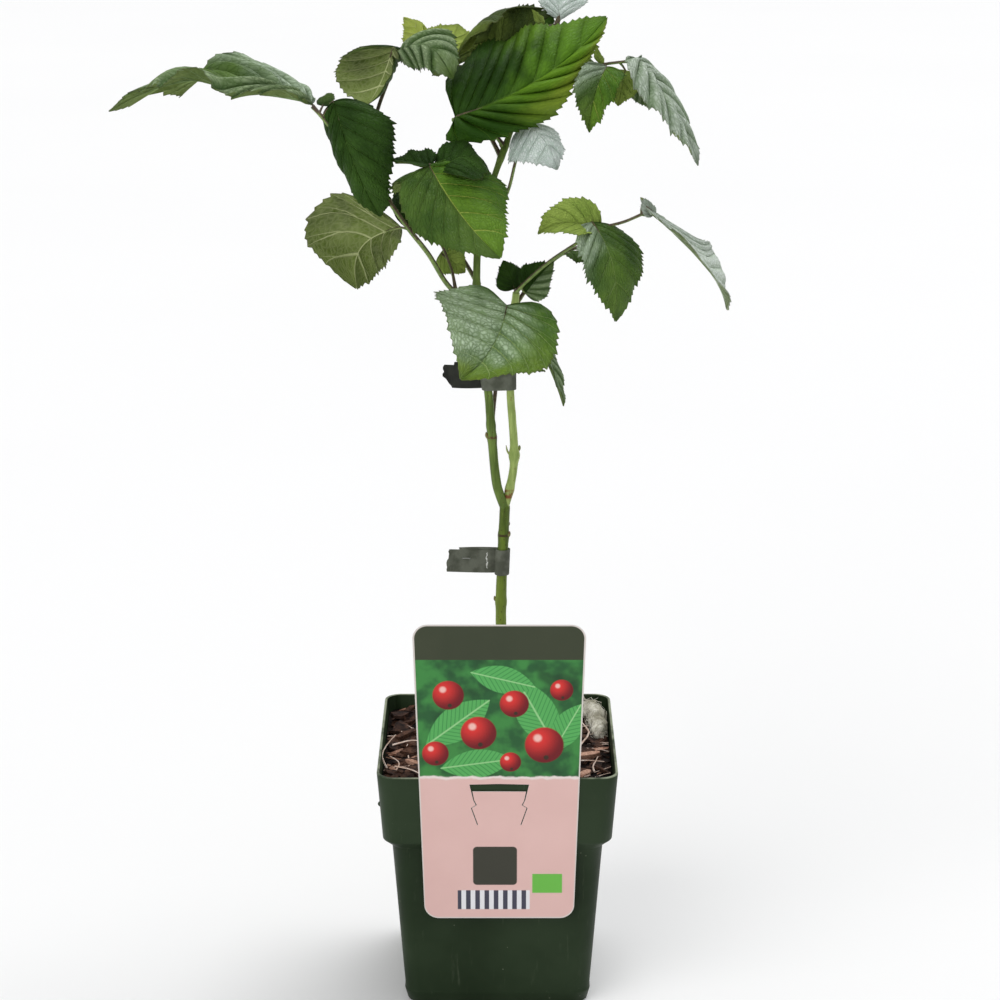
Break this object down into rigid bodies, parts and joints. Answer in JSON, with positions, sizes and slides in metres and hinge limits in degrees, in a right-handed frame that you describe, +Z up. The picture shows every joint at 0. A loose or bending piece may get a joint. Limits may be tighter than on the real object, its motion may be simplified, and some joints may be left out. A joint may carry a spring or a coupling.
{
  "type": "potted tayberry plant",
  "caption": "Young two-caned tayberry bush with toothed leaves, tape ties, soil and a square plastic nursery pot with a hang label.",
  "frame": {"origin": "centre of the pot's flat underside", "axes": "+Z up along the plant, +Y to the back away from the label, +X to the right"},
  "size_m": [0.3192, 0.1862, 0.548],
  "materials": {
    "pot": "dark green injection-moulded plastic, satin",
    "soil": "damp brown bark and peat with pale fibres",
    "label": "printed plastic card, dark green header over green and pink",
    "bark": "green to brown young bark",
    "cane": "smooth green cane with fine red-brown specks",
    "tape": "grey-green matt plant tape",
    "foliage": "green corrugated toothed leaves, paler below"
  },
  "bodies": {
    "root": {"pot": "pot", "soil": "soil", "label": "label", "stem": "bark", "cane_left": "cane", "cane_right": "cane", "tie_upper": "tape", "tie_lower": "tape", "foliage_front": "foliage", "foliage_centre": "foliage", "foliage_left": "foliage", "foliage_small": "foliage", "foliage_top_front": "foliage", "foliage_top_back": "foliage", "foliage_tip": "foliage", "foliage_top_right": "foliage", "foliage_right": "foliage", "foliage_back_low": "foliage", "foliage_back_left": "foliage", "foliage_back_mid": "foliage", "foliage_back_right": "foliage", "foliage_back_top": "foliage", "foliage_back_upper": "foliage"}
  },
  "joints": []
}
